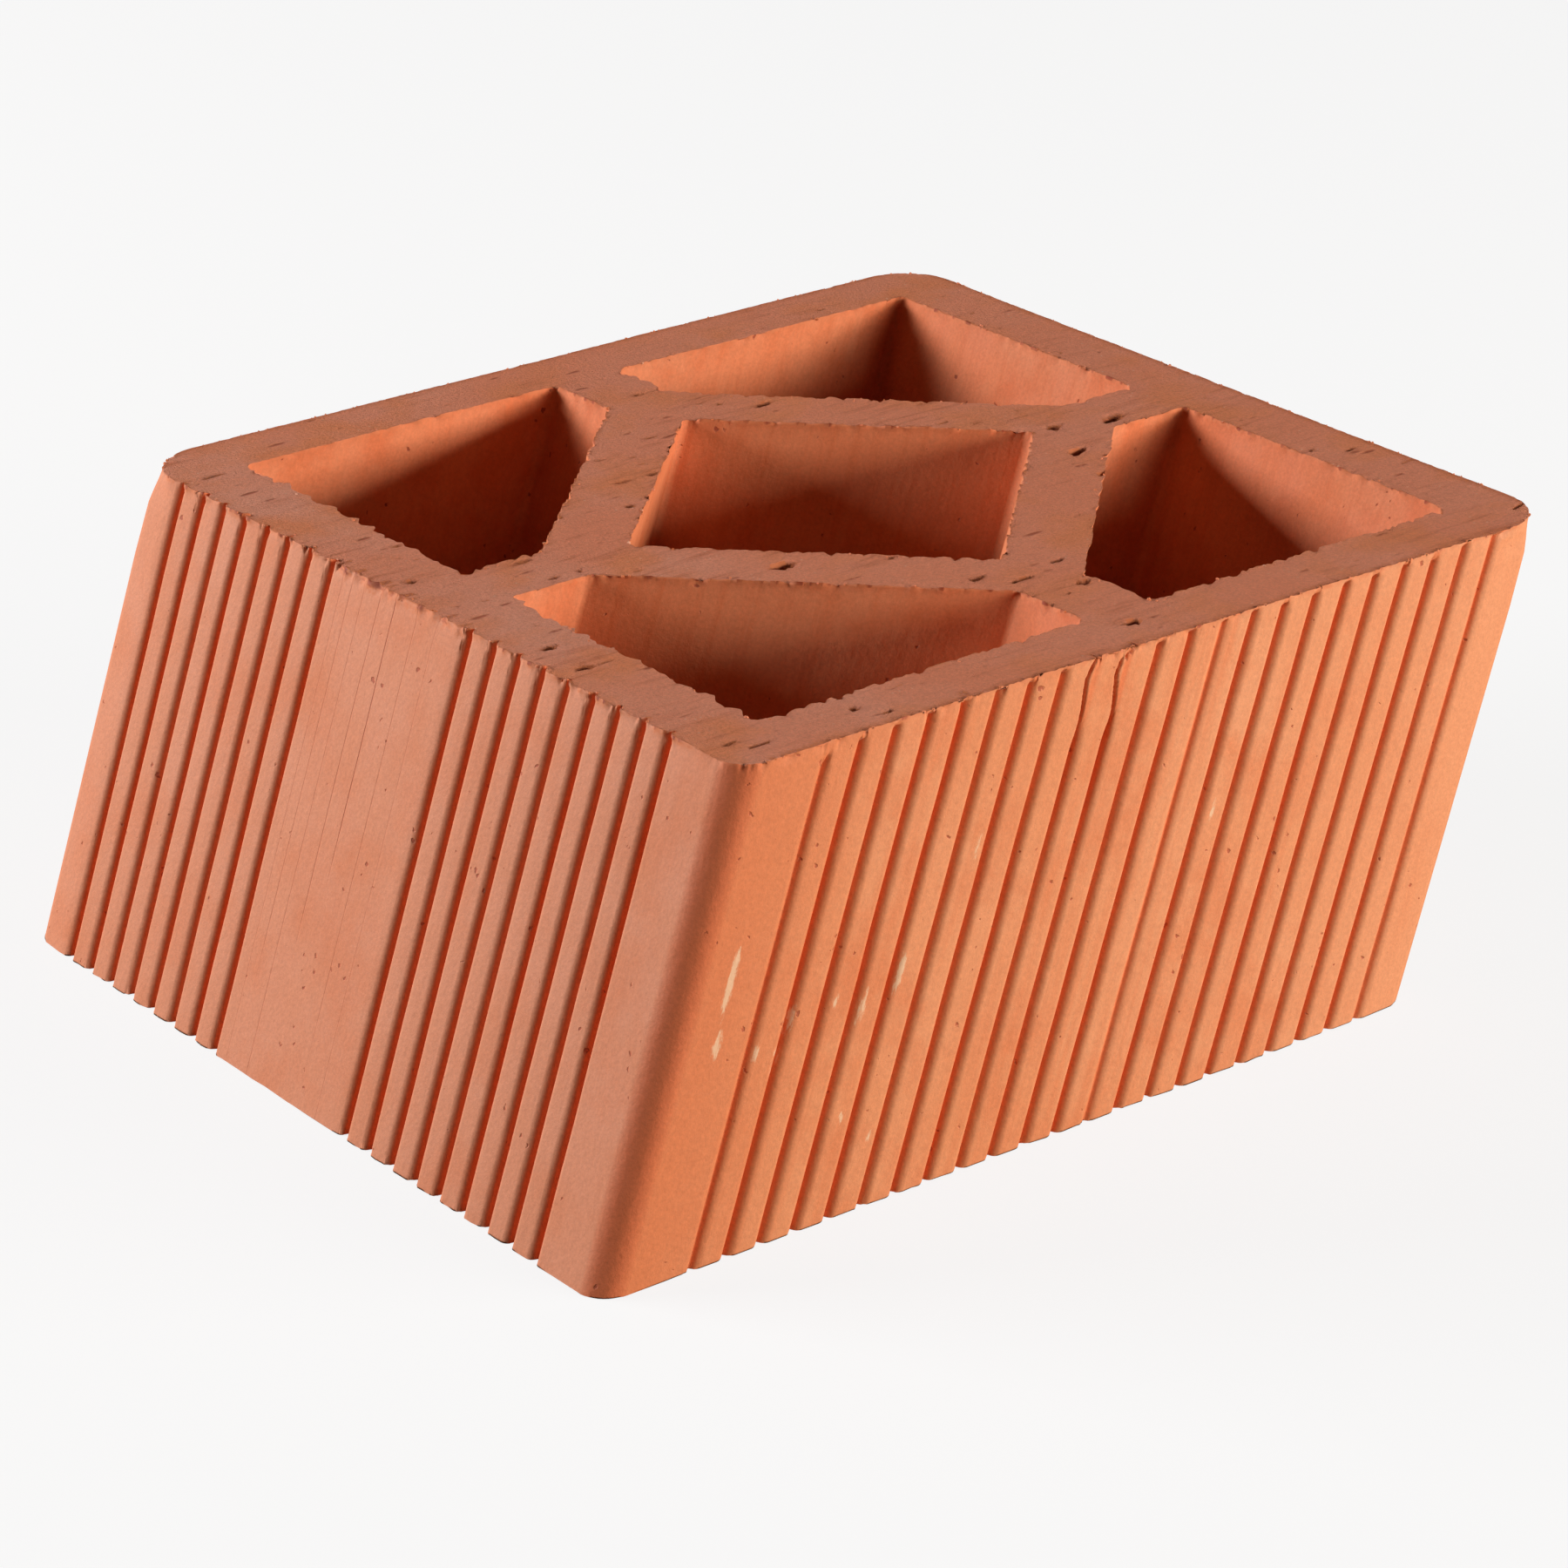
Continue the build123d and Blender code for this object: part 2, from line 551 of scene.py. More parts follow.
def wearBandedSide(wear, index, along, drop, inside, pushed):
    # ribs that fall off towards their near edge, and torn clay along the smooth band's upper edge
    place = (along - grooves["first"]) / grooves["pitch"]
    offBand = not grooves["bandFrom"] < place < grooves["bandTo"]
    if 0 <= round(place) < grooves["count"] and offBand:
        nearEdge = 1 - smooth(place % 1, 0.15, 0.5)
        pushed -= crown["drop"] * nearEdge * max(0.0, 1 - inside / crown["deep"])
    if band["low"] < along < band["high"] and drop < band["tall"]:
        fade = 1 - smooth(drop, 0.3 * band["tall"], band["tall"])
        ragged = smooth(0.5 + 0.9 * wave(along / 1.7, drop / 1.2, 91), 0.3, 0.75) * fade
        pushed += 0.45 * wave(along / 0.8, drop / 0.7, 95) * fade - band["deep"] * ragged
        wear["torn"][index] = max(wear["torn"][index], 0.75 * ragged)
    return pushed


def wearSide(wear, index, point, side, along, inside):
    # closes grooves, tears them and lets the ribs wander
    axis, sign = side
    drop, height = levelOf(point)
    wear["inGroove"][index] = smooth(inside, 0.05, 1.1)
    outward = Vector((sign, 0, 0)) if axis == "X" else Vector((0, sign, 0))
    sideways = Vector((0, 1, 0)) if axis == "X" else Vector((1, 0, 0))
    pushed = closingAt(side, along, drop, inside)
    if pushed > 0.3 * inside and drop < 5:
        closed = 0.3 * pushed * (1 - smooth(drop, 1.5, 3.0))
        wear["torn"][index] = max(wear["torn"][index], closed)
    if side == ("Y", -1):
        pushed = wearTears(wear, index, along, height, inside, pushed)
    if side == ("X", -1):
        pushed = wearBandedSide(wear, index, along, drop, inside, pushed)
    rib = round((along - grooves["first"]) / grooves["pitch"])
    wander = wave(rib * 1.9 + 4 * sign, height / walls["swayTall"], 77 if axis == "X" else 83)
    swayed = sideways * (walls["sway"] * wander)
    wear["moved"][index] += outward * pushed + swayed * smooth(inside + 0.6, 0, 0.8)


def tearPits(wear):
    # hollows out the pits in the upper face
    chance = random.Random(strayPits["seed"])
    within = strayPits["within"]
    pits = list(seenPits)
    for number in range(strayPits["count"]):
        size = [chance.uniform(*strayPits[part]) for part in ("length", "width", "depth")]
        pits.append((chance.uniform(-within, within), chance.uniform(-within, within), *size))
    for number, (u, v, length, wide, deep) in enumerate(pits):
        centre = leaning(u, v, block["top"])
        for point, index, gap in wear["upperFace"].find_range(centre, length * mm):
            du, dv = (point.x - centre.x) * 1000, (point.y - centre.y) * 1000
            dv -= 0.12 * math.sin(number) * du
            ragged = 1 + 0.5 * wave(point.x * 1100, point.y * 1100, number)
            reach = math.sqrt((2 * du / length) ** 2 + (2 * dv / wide) ** 2) / ragged
            hollow = 1 - smooth(reach, 0.35, 1.15)
            wear["moved"][index].z -= hollow * deep
            wear["torn"][index] = max(wear["torn"][index], min(1.0, hollow * (0.5 + deep)))


def paintWear(piece):
    # works out how every point wears, in millimetres, and paints torn clay and groove depth on the mesh
    mesh = piece.data
    points = [vertex.co.copy() for vertex in mesh.vertices]
    wear = {
        "moved": [Vector() for point in points],  # level and upright moves
        "bulged": [0.0] * len(points),  # moves along the surface's own normal
        "torn": [0.0] * len(points),
        "inGroove": [0.0] * len(points),
        "upperFace": KDTree(len(points)),
        "rimPoints": [],
    }
    upperRims, lowerRims = rimsOf(piece, block["depth"]), rimsOf(piece, 0.0)
    for index, point in enumerate(points):
        drop, height = levelOf(point)
        u, v = section(point)
        if drop < rims["reach"]:
            wearUpperRim(wear, index, point, upperRims)
        elif height < rims["footReach"]:
            wearLowerRim(wear, index, point, lowerRims)
        side, along, inside = sideOf(u, v)
        if side:
            wearSide(wear, index, point, side, along, inside)
        wear["moved"][index] += roundOff(u, v, drop)
        inCells = not side and max(abs(u), abs(v)) < walls["hollowTo"]
        if inCells and height > block["touching"] and drop > 2.0:
            size, tall = walls["hollowSize"]
            hollow = walls["hollow"] * wave(u / size, v / size, height / tall)
            wear["bulged"][index] += hollow * min(1.0, (drop - 2) / 4)
    wear["upperFace"].balance()
    tearPits(wear)
    for name, values in (("tornClay", wear["torn"]), ("grooveDepth", wear["inGroove"])):
        attribute = mesh.attributes.new(name, "FLOAT", "POINT")
        attribute.data.foreach_set("value", values)
    return wear


def displace(piece, name, moves, direction):
    # one Displace modifier for the moves one way and one for the moves back, each weighted by a group
    leastMove = 0.004
    for label, sign in (("Out", 1), ("Back", -1)):
        most = max(max(sign * move for move in moves), 1e-6)
        group = piece.vertex_groups.new(name=name + label)
        for index, move in enumerate(moves):
            if sign * move > leastMove:
                group.add([index], sign * move / most, "REPLACE")
        selectOnly(piece)
        worn = piece.modifiers.new(name + label, "DISPLACE")
        worn.vertex_group = group.name
        worn.strength = sign * most * mm
        worn.direction = direction
        worn.mid_level = 0.0
        bpy.ops.object.modifier_apply(modifier=worn.name)


def keepInBox(piece):
    for vertex in piece.data.vertices:
        for axis in range(3):
            vertex.co[axis] = min(cadHigh[axis], max(cadLow[axis], vertex.co[axis]))


def evenShading(piece):
    selectOnly(piece)
    bpy.ops.object.shade_smooth_by_angle(angle=math.radians(38))
    weighted = piece.modifiers.new("evenShading", "WEIGHTED_NORMAL")
    weighted.keep_sharp = True
    bpy.ops.object.modifier_apply(modifier=weighted.name)


fired = cutBlock(frame["nodes"]["breeze_block"])
triangles = sum(len(face.vertices) - 2 for face in fired.data.polygons)
print("block cut:", len(fired.data.vertices), "points", triangles, "triangles")
wear = paintWear(fired)
print("wear painted")
displace(fired, "bulged", wear["bulged"], "NORMAL")
for axis, name in enumerate(("movedX", "movedY", "movedZ")):
    displace(fired, name, [move[axis] for move in wear["moved"]], name[-1])
keepInBox(fired)
evenShading(fired)
print("block worn")

crumbs = {
    "count": 340,
    "seed": 12,
    "size": (0.10, 0.30),  # radii in millimetres
    "squash": (0.6, 1.5),
    "sunk": 0.25,  # share of the radius
}


def makeCrumbs(rimPoints):
    # bits of clay that the wire tore loose, stuck along the upper rims
    chance = random.Random(crumbs["seed"])
    bpy.ops.object.select_all(action="DESELECT")
    bpy.ops.mesh.primitive_ico_sphere_add(subdivisions=1, radius=1 * mm, location=(0, 0, 0))
    first = bpy.context.object
    bits = []
    for number in range(crumbs["count"]):
        spot = fired.data.vertices[chance.choice(rimPoints)].co
        size = chance.uniform(*crumbs["size"])
        bit = first.copy()
        bit.data = first.data.copy()
        bpy.context.scene.collection.objects.link(bit)
        bit.location = spot - Vector((0, 0, crumbs["sunk"] * size * mm))
        bit.rotation_euler = [chance.uniform(0, 6.28) for turn in range(3)]
        bit.scale = [size * chance.uniform(*crumbs["squash"]) for way in range(3)]
        bits.append(bit)
    bpy.data.objects.remove(first)
    bpy.ops.object.select_all(action="DESELECT")
    for bit in bits:
        bit.select_set(True)
    bpy.context.view_layer.objects.active = bits[0]
    bpy.ops.object.join()
    piece = bpy.context.object
    piece.name = piece.data.name = "looseCrumbs"
    bpy.ops.object.transform_apply(location=True, rotation=True, scale=True)
    keepInBox(piece)
    return piece


loose = makeCrumbs(wear["rimPoints"])
print("crumbs stuck on:", len(loose.data.polygons), "faces")


def add(tree, kind, inputs=None, **settings):
    node = tree.nodes.new(kind)
    for name, value in settings.items():
        setattr(node, name, value)
    for name, value in (inputs or {}).items():
        fill(tree, node.inputs[name], value)
    return node


def fill(tree, socket, value):
    # a socket takes a link from another socket, or a plain value
    if isinstance(value, bpy.types.NodeSocket):
        tree.links.new(value, socket)
    else:
        socket.default_value = value


def freshMaterial(name):
    material = bpy.data.materials.new(name)
    material.use_nodes = True
    material.node_tree.nodes.clear()
    return material, material.node_tree


def speckle(tree, vector, scale, detail=3.0, roughness=0.5):
    values = {"Vector": vector, "Scale": scale, "Detail": detail, "Roughness": roughness}
    return add(tree, "ShaderNodeTexNoise", values).outputs["Fac"]


def spread(tree, value, low, high, toLow=0.0, toHigh=1.0):
    values = {"Value": value, "From Min": low, "From Max": high, "To Min": toLow, "To Max": toHigh}
    return add(tree, "ShaderNodeMapRange", values).outputs["Result"]


def patches(tree, vector, scale, detail, low, high, toLow=0.0, toHigh=1.0, roughness=0.5):
    # noise that fades in between two of its values
    return spread(tree, speckle(tree, vector, scale, detail, roughness), low, high, toLow, toHigh)


def specks(tree, vector, scale):
    # distance to the nearest of many scattered points
    return add(tree, "ShaderNodeTexVoronoi", {"Vector": vector, "Scale": scale}).outputs["Distance"]


def stretched(tree, vector, scale, turn=0.0):
    values = {"Vector": vector, "Rotation": (0, 0, turn), "Scale": scale}
    return add(tree, "ShaderNodeMapping", values).outputs["Vector"]


def painted(tree, name):
    return add(tree, "ShaderNodeAttribute", attribute_name=name).outputs["Fac"]


def blend(tree, factor, first, second, kind="MIX"):
    mix = tree.nodes.new("ShaderNodeMix")
    mix.data_type = "RGBA"
    mix.blend_type = kind
    for socket, value in ((mix.inputs[0], factor), (mix.inputs[6], first), (mix.inputs[7], second)):
        fill(tree, socket, value)
    return mix.outputs[2]


def combine(tree, first, second, operation="MULTIPLY"):
    node = tree.nodes.new("ShaderNodeMath")
    node.operation = operation
    fill(tree, node.inputs[0], first)
    fill(tree, node.inputs[1], second)
    return node.outputs[0]


def shaded(tree, colour, amount):
    # the colour with its brightness changed by a pattern
    values = {"Red": amount, "Green": amount, "Blue": amount}
    grey = add(tree, "ShaderNodeCombineColor", values).outputs["Color"]
    return blend(tree, 1.0, colour, grey, "MULTIPLY")


def finishClay(tree, colour, roughness, shine, height, strength, deep):
    bumped = add(tree, "ShaderNodeBump", {"Height": height, "Strength": strength, "Distance": deep})
    shader = add(tree, "ShaderNodeBsdfPrincipled", {
        "Base Color": colour,
        "Roughness": roughness,
        "Normal": bumped.outputs["Normal"],
        "Specular IOR Level": shine,
    })
    add(tree, "ShaderNodeOutputMaterial", {"Surface": shader.outputs[0]})


def sectionCoordinates(tree):
    # the object's coordinates, and the same with the lean taken out and drawn out along the clay
    place = add(tree, "ShaderNodeTexCoord").outputs["Object"]
    parts = add(tree, "ShaderNodeSeparateXYZ", {"Vector": place}).outputs
    risen = combine(tree, parts["Z"], -block["depth"] / 2, "ADD")
    across = combine(tree, parts["X"], combine(tree, risen, -block["slope"]), "ADD")
    upright = add(tree, "ShaderNodeCombineXYZ", {"X": across, "Y": parts["Y"], "Z": parts["Z"]})
    return {
        "place": place,
        "upright": upright.outputs["Vector"],
        "drawn": stretched(tree, upright.outputs["Vector"], (1.0, 1.0, 0.04)),
        "across": across,
        "along": parts["Y"],
        "height": parts["Z"],
    }


# clay opened by the wire
cutClay = {
    "base": (0.800, 0.272, 0.150, 1),
    "pale": (0.790, 0.330, 0.215, 1),
    "warm": (0.790, 0.260, 0.115, 1),
    "deep": (0.560, 0.155, 0.070, 1),
    "torn": (0.720, 0.225, 0.090, 1),
    "pit": (0.360, 0.070, 0.030, 1),
    "grit": (0.80, 0.50, 0.36, 1),
    "roughness": 0.9,
    "shine": 0.2,
    "dragTurn": 0.035,  # the drag lines' turn off X, and the scratches'
    "scratchTurn": 0.06,
}


def wireCutClay(name, values):
    # sandy, dragged along X and pitted
    material, tree = freshMaterial(name)
    place = add(tree, "ShaderNodeTexCoord").outputs["Object"]
    across = add(tree, "ShaderNodeSeparateXYZ", {"Vector": place}).outputs["X"]
    dragged = stretched(tree, place, (0.11, 1.0, 1.0), values["dragTurn"])
    scratched = stretched(tree, place, (0.22, 1.0, 1.0), values["scratchTurn"])

    # paler and dustier towards the near side
    colour = blend(tree, spread(tree, across, -85 * mm, -30 * mm, 0.45, 0.0), values["base"], values["pale"])
    nearer = spread(tree, across, -80 * mm, 20 * mm, 1.0, 0.35)
    dusty = combine(tree, patches(tree, place, 34, 5, 0.38, 0.64), nearer)
    colour = blend(tree, dusty, colour, values["pale"])
    colour = blend(tree, patches(tree, place, 62, 4, 0.48, 0.66, 0.0, 0.9), colour, values["warm"])

    dragLines = patches(tree, dragged, 620, 4, 0.52, 0.70, 0, 0.75, 0.6)
    dragLines = combine(tree, dragLines, patches(tree, place, 45, 3, 0.42, 0.6))
    colour = blend(tree, dragLines, colour, values["deep"])
    colour = shaded(tree, colour, patches(tree, place, 2000, 5, 0.28, 0.72, 0.82, 1.18, 0.75))

    pits = spread(tree, specks(tree, scratched, 430.0), 0.24, 0.10)
    pits = combine(tree, pits, patches(tree, place, 150, 3, 0.55, 0.62))
    colour = blend(tree, combine(tree, pits, 0.75), colour, values["pit"])
    grit = spread(tree, specks(tree, place, 640.0), 0.15, 0.09)
    grit = combine(tree, grit, patches(tree, place, 240, 2, 0.55, 0.62))
    colour = blend(tree, combine(tree, grit, 0.6), colour, values["grit"])

    crumbled = speckle(tree, place, 1300, 4, 0.7)
    edge = combine(tree, painted(tree, "tornClay"), spread(tree, crumbled, 0.3, 0.7, 0.4, 1.6))
    tornColour = blend(tree, spread(tree, crumbled, 0.42, 0.56), values["pit"], values["torn"])
    colour = blend(tree, spread(tree, edge, 0.3, 0.75), colour, tornColour)

    sandy = combine(tree, speckle(tree, dragged, 700, 4), 0.4)
    sandy = combine(tree, sandy, speckle(tree, place, 1700, 5, 0.7), "ADD")
    height = combine(tree, sandy, combine(tree, pits, -1.3), "ADD")
    finishClay(tree, colour, values["roughness"], values["shine"], height, 0.9, 0.0005)
    return material


def crumbClay(name, values):
    material, tree = freshMaterial(name)
    place = add(tree, "ShaderNodeTexCoord").outputs["Object"]
    colour = blend(tree, patches(tree, place, 420, 3, 0.4, 0.6), values["torn"], values["base"])
    colour = blend(tree, patches(tree, place, 300, 2, 0.62, 0.66, 0, 0.6), colour, values["grit"])
    height = speckle(tree, place, 3000, 3)
    finishClay(tree, colour, values["roughness"], values["shine"], height, 0.5, 0.0003)
    return material


# clay rubbed smooth by the die, on the grooved sides and in the cells
sideClay = {
    "base": (0.745, 0.262, 0.108, 1),
    "pale": (0.765, 0.300, 0.138, 1),
    "deep": (0.700, 0.200, 0.072, 1),
    "banded": (0.725, 0.270, 0.138, 1),  # painted sheen: the side with the smooth band is a little paler and pinker, for the sheen it catches
    # partly painted shade: a deeper red in the grooves, for damp and for the red shade inside them
    "groove": (0.760, 0.175, 0.052, 1),
    "corner": (0.800, 0.170, 0.055, 1),  # painted shade: a deep red for the shaded strip along the near long corner
    "stain": (0.700, 0.175, 0.055, 1),
    "fleck": (0.44, 0.085, 0.032, 1),
    "scum": (0.86, 0.60, 0.38, 1),
    "roughness": 0.68,
    "shine": 0.4,
}
# partly painted shade: the cells' clay is redder than the sides', standing in for the deep red shade inside
# the cells
cellClayWithShade = {
    "base": (0.745, 0.215, 0.084, 1),
    "pale": (0.760, 0.262, 0.118, 1),
    "deep": (0.670, 0.165, 0.055, 1),
    "stain": (0.700, 0.165, 0.052, 1),
    "fleck": (0.34, 0.060, 0.025, 1),
    "roughness": 0.72,
    "shine": 0.35,
}
# pale scum scraped on to the front: u, z, length, width, strength
scum = [
    (-75.2, 46.0, 12.5, 1.0, 1.0),
    (-74.7, 36.7, 5.0, 1.1, 0.9),
    (-66.0, 33.0, 5.0, 0.8, 0.8),
    (-60.3, 36.6, 5.0, 1.0, 0.8),
    (-61.5, 31.0, 6.0, 1.2, 0.4),
    (-52.3, 37.4, 3.2, 0.8, 0.8),
    (-46.0, 34.5, 7.0, 0.9, 0.8),
    (-39.8, 38.4, 8.0, 0.7, 1.0),
    (-44.3, 17.0, 2.4, 0.6, 0.7),
    (-37.1, 12.2, 2.4, 0.6, 0.7),
    (-30.2, 55.0, 6.0, 0.6, 0.35),
    (21.0, 48.0, 5.0, 0.6, 0.3),
]
# lines left by the die down the smooth band: v, strength, and how low they reach
dieLines = [
    (5.3, 0.75, 33),
    (9.6, 0.4, 20),
    (-6.5, 0.2, -20),
    (-1.0, 0.28, 5),
    (14.2, 0.25, -20),
    (17.8, 0.3, 12),
    (20.5, 0.2, -20),
]
dieLineShape = {"wide": 0.16, "core": 0.3, "wander": 1.1, "fades": 12}


def drawnColour(tree, values, at):
    # broad patches, stains, rubbed spots and streaks drawn out along the clay
    broad = patches(tree, at["place"], 30, 4, 0.36, 0.66)
    colour = blend(tree, broad, values["base"], values["pale"])
    stained = combine(tree, patches(tree, at["place"], 62, 5, 0.47, 0.68, roughness=0.6), 0.85)
    colour = blend(tree, stained, colour, values["deep"])
    rubbed = patches(tree, at["drawn"], 110, 4, 0.52, 0.66, roughness=0.6)
    rubbed = combine(tree, rubbed, patches(tree, at["place"], 38, 4, 0.46, 0.62))
    colour = blend(tree, combine(tree, rubbed, 0.7), colour, values["stain"])
    streaks = patches(tree, at["drawn"], 480, 4, 0.48, 0.74, 0, 0.55, 0.6)
    return blend(tree, streaks, colour, values["deep"]), stained


def sideTints(tree, values, at, colour, stained):
    # deeper at the near end, paler at the far end, painted sheen on the banded side, painted shade at the
    # near corner, damp and painted shade in the grooves
    nearEnd = spread(tree, at["across"], -78 * mm, -50 * mm, 1.0, 0.0)
    colour = blend(tree, nearEnd, colour, values["deep"])
    farEnd = spread(tree, at["across"], 20 * mm, 84 * mm, 0.0, 0.8)
    colour = blend(tree, farEnd, colour, values["pale"])
    # painted sheen: the banded side takes a paler, pinker colour for the sheen and cool light it catches
    sheenOnBandedSide = spread(tree, at["across"], -81.0 * mm, -83.5 * mm)
    banded = blend(tree, combine(tree, stained, 0.6), values["banded"], values["deep"])
    colour = blend(tree, sheenOnBandedSide, colour, banded)
    # painted shade: the near long corner takes a deep red for the shade that falls along it
    towardsCorner = combine(tree, combine(tree, at["across"], at["along"], "ADD"), -1.0)
    nearCornerShadeMask = spread(tree, towardsCorner, 164.6 * mm, 166.4 * mm, 0.0, 0.75)
    colour = blend(tree, nearCornerShadeMask, colour, values["corner"])
    # partly painted shade: the grooves turn deeper red with their depth, for damp and for the red shade
    # inside them
    uneven = patches(tree, at["drawn"], 300, 3, 0.35, 0.6, 0.45, 0.9)
    return blend(tree, combine(tree, painted(tree, "grooveDepth"), uneven), colour, values["groove"])


def fleckPattern(tree, place):
    # ragged flecks, larger in some places than in others
    lumps = add(tree, "ShaderNodeTexNoise", {"Vector": place, "Scale": 900.0}).outputs["Color"]
    reach = (0.0014, 0.0014, 0.0014)
    shift = add(tree, "ShaderNodeVectorMath", {0: lumps, 1: reach}, operation="MULTIPLY").outputs[0]
    warped = add(tree, "ShaderNodeVectorMath", {0: place, 1: shift}, operation="ADD").outputs[0]
    size = patches(tree, place, 95, 2, 0.42, 0.66, 0.02, 0.17)
    return spread(tree, combine(tree, size, specks(tree, warped, 330.0), "SUBTRACT"), 0.0, 0.07)


def scumPattern(tree, upright):
    marks = 0.0
    for u, z, long, wide, strong in scum:
        spot = add(tree, "ShaderNodeMapping", {
            "Vector": upright,
            "Location": (u * mm, -block["halfSide"] * mm, z * mm),
            "Scale": (wide * mm, 6 * mm, 0.55 * long * mm),
        }, vector_type="TEXTURE").outputs["Vector"]
        ball = add(tree, "ShaderNodeTexGradient", {"Vector": spot}, gradient_type="SPHERICAL").outputs["Fac"]
        marks = combine(tree, combine(tree, ball, strong), marks, "MAXIMUM")
    scratched = stretched(tree, upright, (1.0, 1.0, 0.25))
    scratches = patches(tree, scratched, 1500, 4, 0.35, 0.65, -0.35, 0.5, 0.7)
    scraped = spread(tree, combine(tree, marks, scratches, "ADD"), 0.25, 0.6)
    return combine(tree, scraped, spread(tree, marks, 0.0, 0.12))


def dieLinePattern(tree, at):
    wide, wander = dieLineShape["wide"], dieLineShape["wander"]
    wandering = combine(tree, speckle(tree, at["drawn"], 260, 2), wander * mm)
    wandering = combine(tree, at["along"], wandering, "ADD")
    onBand = spread(tree, at["across"], -84.0 * mm, -84.6 * mm)
    lines = 0.0
    for v, strong, lowest in dieLines:
        off = combine(tree, wandering, -(v + wander / 2) * mm, "ADD")
        off = combine(tree, off, 0.0, "ABSOLUTE")
        line = spread(tree, off, wide * mm, dieLineShape["core"] * wide * mm, 0.0, strong)
        fade = spread(tree, at["height"], lowest * mm, (lowest + dieLineShape["fades"]) * mm)
        line = combine(tree, combine(tree, line, fade), onBand)
        lines = combine(tree, line, lines, "MAXIMUM")
    return lines


def drawnClay(name, values, grooved):
    # the grooved sides also have tints, scum and die lines that the cells haven't
    material, tree = freshMaterial(name)
    at = sectionCoordinates(tree)
    place = at["place"]
    colour, stained = drawnColour(tree, values, at)
    if grooved:
        colour = sideTints(tree, values, at, colour, stained)
    colour = shaded(tree, colour, patches(tree, place, 1700, 5, 0.3, 0.7, 0.90, 1.10, 0.65))
    flecks = fleckPattern(tree, place)
    colour = blend(tree, combine(tree, flecks, 0.85), colour, values["fleck"])
    dimples = flecks
    if grooved:
        scraped = scumPattern(tree, at["upright"])
        colour = blend(tree, combine(tree, scraped, 0.7), colour, values["scum"])
        lines = dieLinePattern(tree, at)
        colour = blend(tree, lines, colour, values["fleck"])
        dimples = combine(tree, flecks, lines, "ADD")

    torn = painted(tree, "tornClay")
    edge = combine(tree, torn, patches(tree, place, 1500, 3, 0.3, 0.7, 0.5, 1.5))
    colour = blend(tree, spread(tree, edge, 0.25, 0.65), colour, cutClay["torn"])
    colour = blend(tree, spread(tree, torn, 0.62, 0.86), colour, cutClay["pit"])

    soft = combine(tree, speckle(tree, at["drawn"], 500, 3), 0.45)
    soft = combine(tree, soft, combine(tree, speckle(tree, place, 700, 6, 0.68), 0.9), "ADD")
    height = combine(tree, soft, combine(tree, dimples, -1.0), "ADD")
    rough = values["roughness"]
    rough = patches(tree, place, 90, 4, 0.3, 0.7, rough - 0.05, rough + 0.07)
    finishClay(tree, colour, rough, values["shine"], height, 0.5, 0.0003)
    return material


cutFaceReach = 2.5 * mm  # faces that look up or down this near a cut face belong to it
clays = {
    "side": drawnClay("groovedSideClay", sideClay, True),
    "cell": drawnClay("cellWallClayWithShade", cellClayWithShade, False),
    "cut": wireCutClay("wireCutClay", cutClay),
}
slots = list(clays)


def clayOf(face):
    off = min(face.center.z, block["depth"] - face.center.z)
    if abs(face.normal.z) > 0.75 and off < cutFaceReach:
        return "cut"
    u, v = section(face.center)
    return "side" if max(abs(u), abs(v)) > block["outerSkin"] else "cell"


fired.data.materials.clear()
for clay in clays.values():
    fired.data.materials.append(clay)
for face in fired.data.polygons:
    face.material_index = slots.index(clayOf(face))
loose.data.materials.clear()
loose.data.materials.append(crumbClay("crumbClay", cutClay))
for piece in (fired, loose):
    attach(piece, "root")
    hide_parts("breeze_block")
print("block finished")

studio = {
    "floorSize": 6.0,
    "floorColour": (0.86, 0.86, 0.86, 1),
    "seenWhite": 0.85,  # share of plain white that the camera sees in the floor
    "bouncing": (0.16, 0.15, 0.14, 1),  # what the floor gives back to the object
    "white": (1, 1, 1, 1),
    "airColour": (1, 0.97, 0.94, 1),
    "airStrength": 0.015,
    "lampsAimAt": (0, 0, 0.045),
}
softLights = [
    # name, direction it comes from, distance, width, height, power, colour
    ("coolSoftbox", (-0.70, 0.71, 0.34), 1.5, 1.0, 0.4, 27.0, (1.0, 0.955, 0.95)),
    ("warmSoftbox", (0.55, -0.83, 0.20), 1.5, 1.3, 0.30, 30.0, (1.0, 0.94, 0.86)),
]


def mixed(tree, factor, first, second):
    shader = add(tree, "ShaderNodeMixShader", {"Fac": factor})
    tree.links.new(first.outputs[0], shader.inputs[1])
    tree.links.new(second.outputs[0], shader.inputs[2])
    return shader.outputs[0]


def layFloor():
    bpy.ops.object.select_all(action="DESELECT")
    bpy.ops.mesh.primitive_plane_add(size=studio["floorSize"], location=(0, 0, 0))
    floor = bpy.context.object
    floor.name = "floor"
    bpy.ops.object.transform_apply(location=True, rotation=True, scale=True)
    material, tree = freshMaterial("paleFloor")
    camera = add(tree, "ShaderNodeLightPath").outputs["Is Camera Ray"]
    colour = blend(tree, camera, studio["bouncing"], studio["floorColour"])
    paper = add(tree, "ShaderNodeBsdfDiffuse", {"Color": colour})
    white = add(tree, "ShaderNodeEmission", {"Color": studio["white"], "Strength": 1.0})
    seen = mixed(tree, combine(tree, camera, studio["seenWhite"]), paper, white)
    add(tree, "ShaderNodeOutputMaterial", {"Surface": seen})
    floor.data.materials.append(material)
    return floor


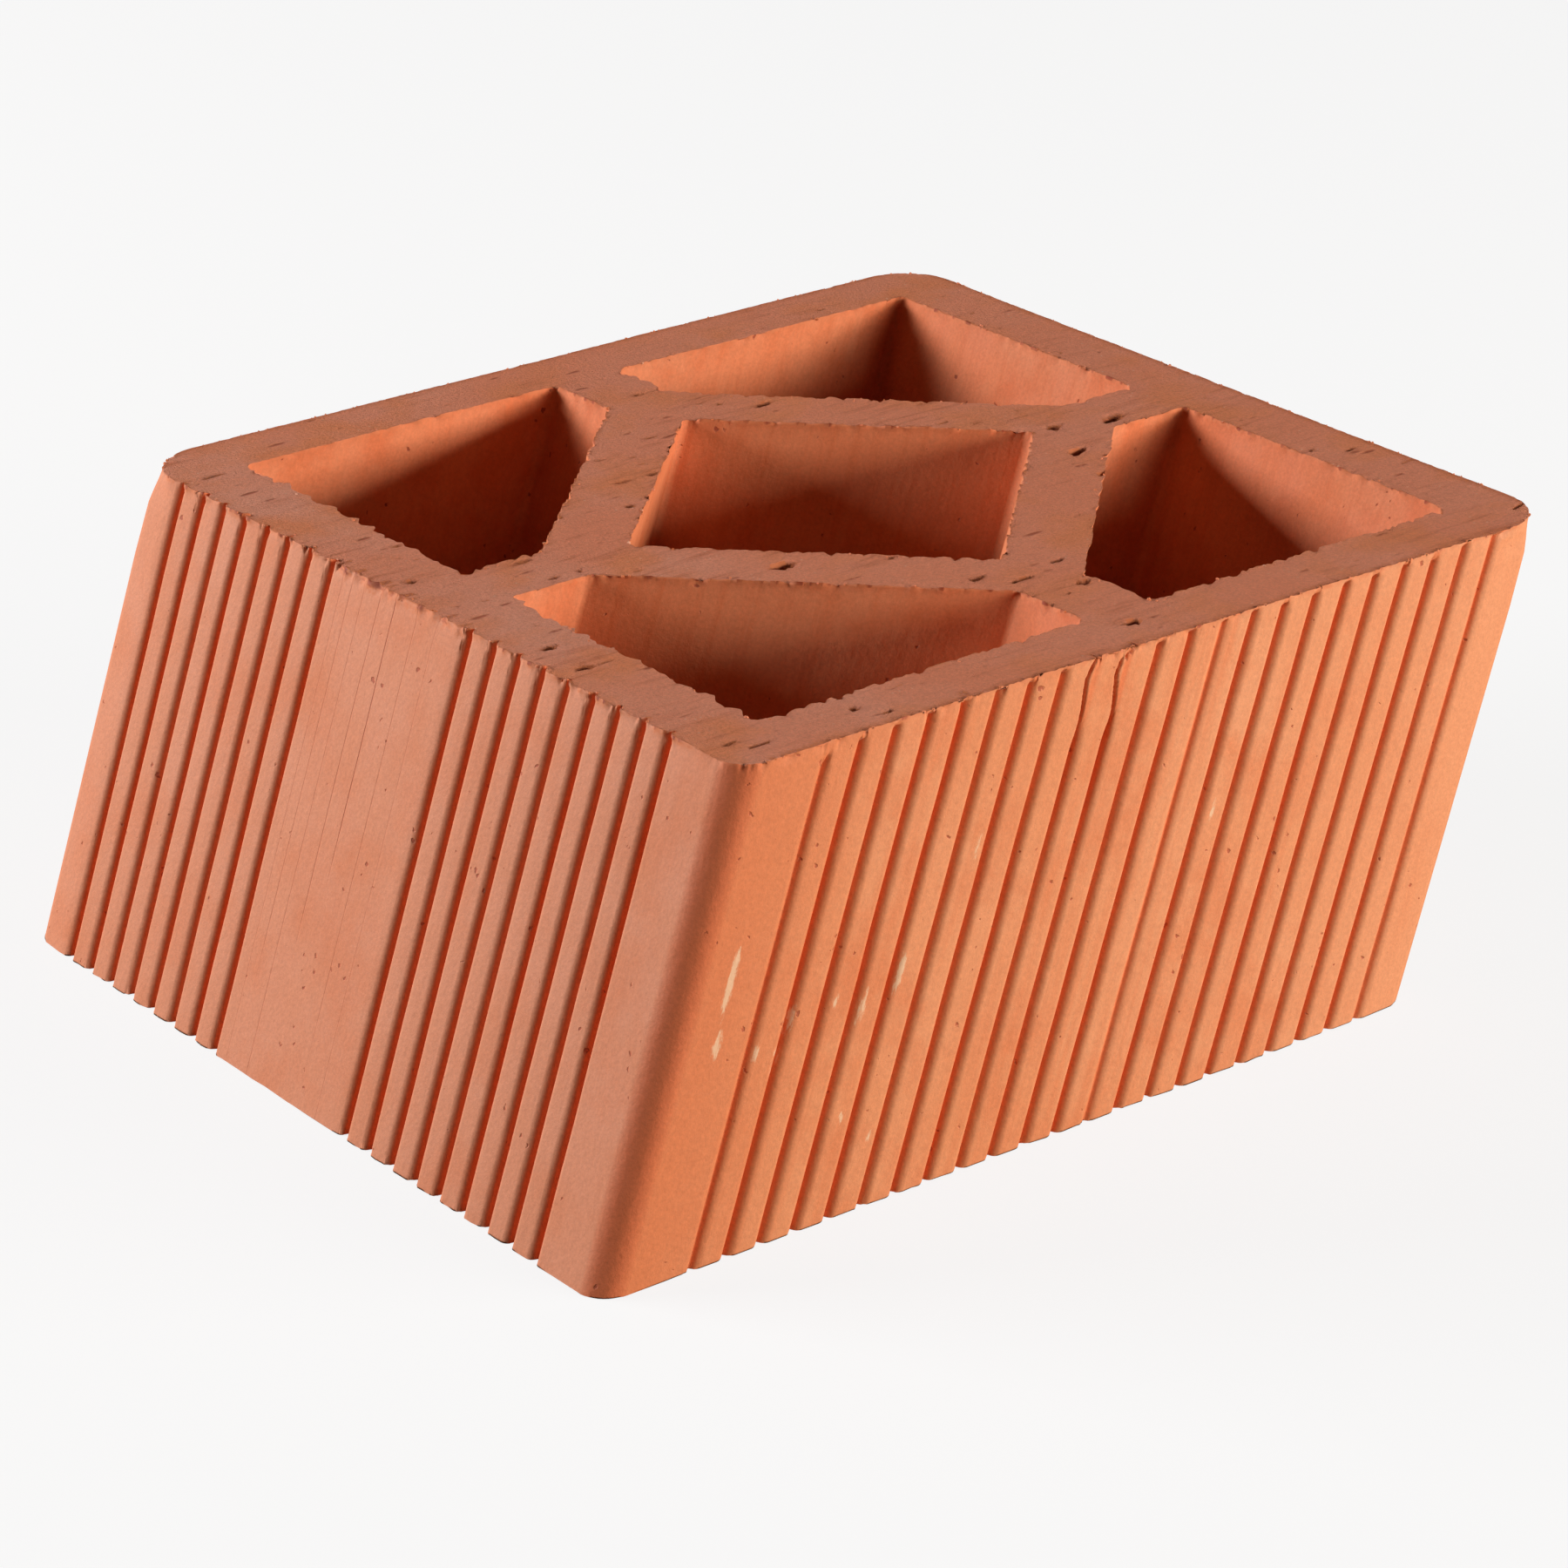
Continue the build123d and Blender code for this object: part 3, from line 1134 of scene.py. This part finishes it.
def fillAir():
    # the camera sees a white backdrop, and the object gets only a little light from it
    world = bpy.data.worlds.new("studioAir")
    bpy.context.scene.world = world
    world.use_nodes = True
    tree = world.node_tree
    tree.nodes.clear()
    camera = add(tree, "ShaderNodeLightPath").outputs["Is Camera Ray"]
    glow = {"Color": studio["airColour"], "Strength": studio["airStrength"]}
    air = add(tree, "ShaderNodeBackground", glow)
    white = add(tree, "ShaderNodeBackground", {"Color": studio["white"], "Strength": 1.0})
    add(tree, "ShaderNodeOutputWorld", {"Surface": mixed(tree, camera, air, white)})


def hangLights():
    aim = Vector(studio["lampsAimAt"])
    for name, source, distance, wide, high, power, colour in softLights:
        direction = Vector(source).normalized()
        facing = direction.to_track_quat("Z", "Y").to_euler()
        bpy.ops.object.light_add(type="AREA", location=aim + direction * distance, rotation=facing)
        lamp = bpy.context.object
        lamp.name = name
        lamp.data.shape = "RECTANGLE"
        lamp.data.size = wide
        lamp.data.size_y = high
        lamp.data.energy = power
        lamp.data.color = colour


floor = layFloor()
fillAir()
hangLights()
print("studio ready")

view = {
    "aim": (-0.00093, -0.00415, 0.03168),
    "azimuth": -37.39,  # degrees from the front, towards the banded side
    "elevation": 23.63,
    "roll": -0.57,
    "distance": 0.8985,
    "lens": 121.44,
    "sensor": 36,
    "nearest": 0.01,
}


def placeCamera():
    azimuth, elevation = math.radians(view["azimuth"]), math.radians(view["elevation"])
    level = math.cos(elevation)
    away = Vector((math.sin(azimuth) * level, -math.cos(azimuth) * level, math.sin(elevation)))
    turned = away.to_track_quat("Z", "Y") @ Quaternion((0, 0, 1), math.radians(view["roll"]))
    place = Vector(view["aim"]) + away * view["distance"]
    bpy.ops.object.camera_add(location=place, rotation=turned.to_euler())
    viewer = bpy.context.object
    viewer.name = "viewer"
    viewer.data.lens = view["lens"]
    viewer.data.sensor_width = view["sensor"]
    viewer.data.clip_start = view["nearest"]
    return viewer


bpy.context.scene.camera = placeCamera()
bpy.context.scene.view_settings.view_transform = "Standard"

print("scene ready")
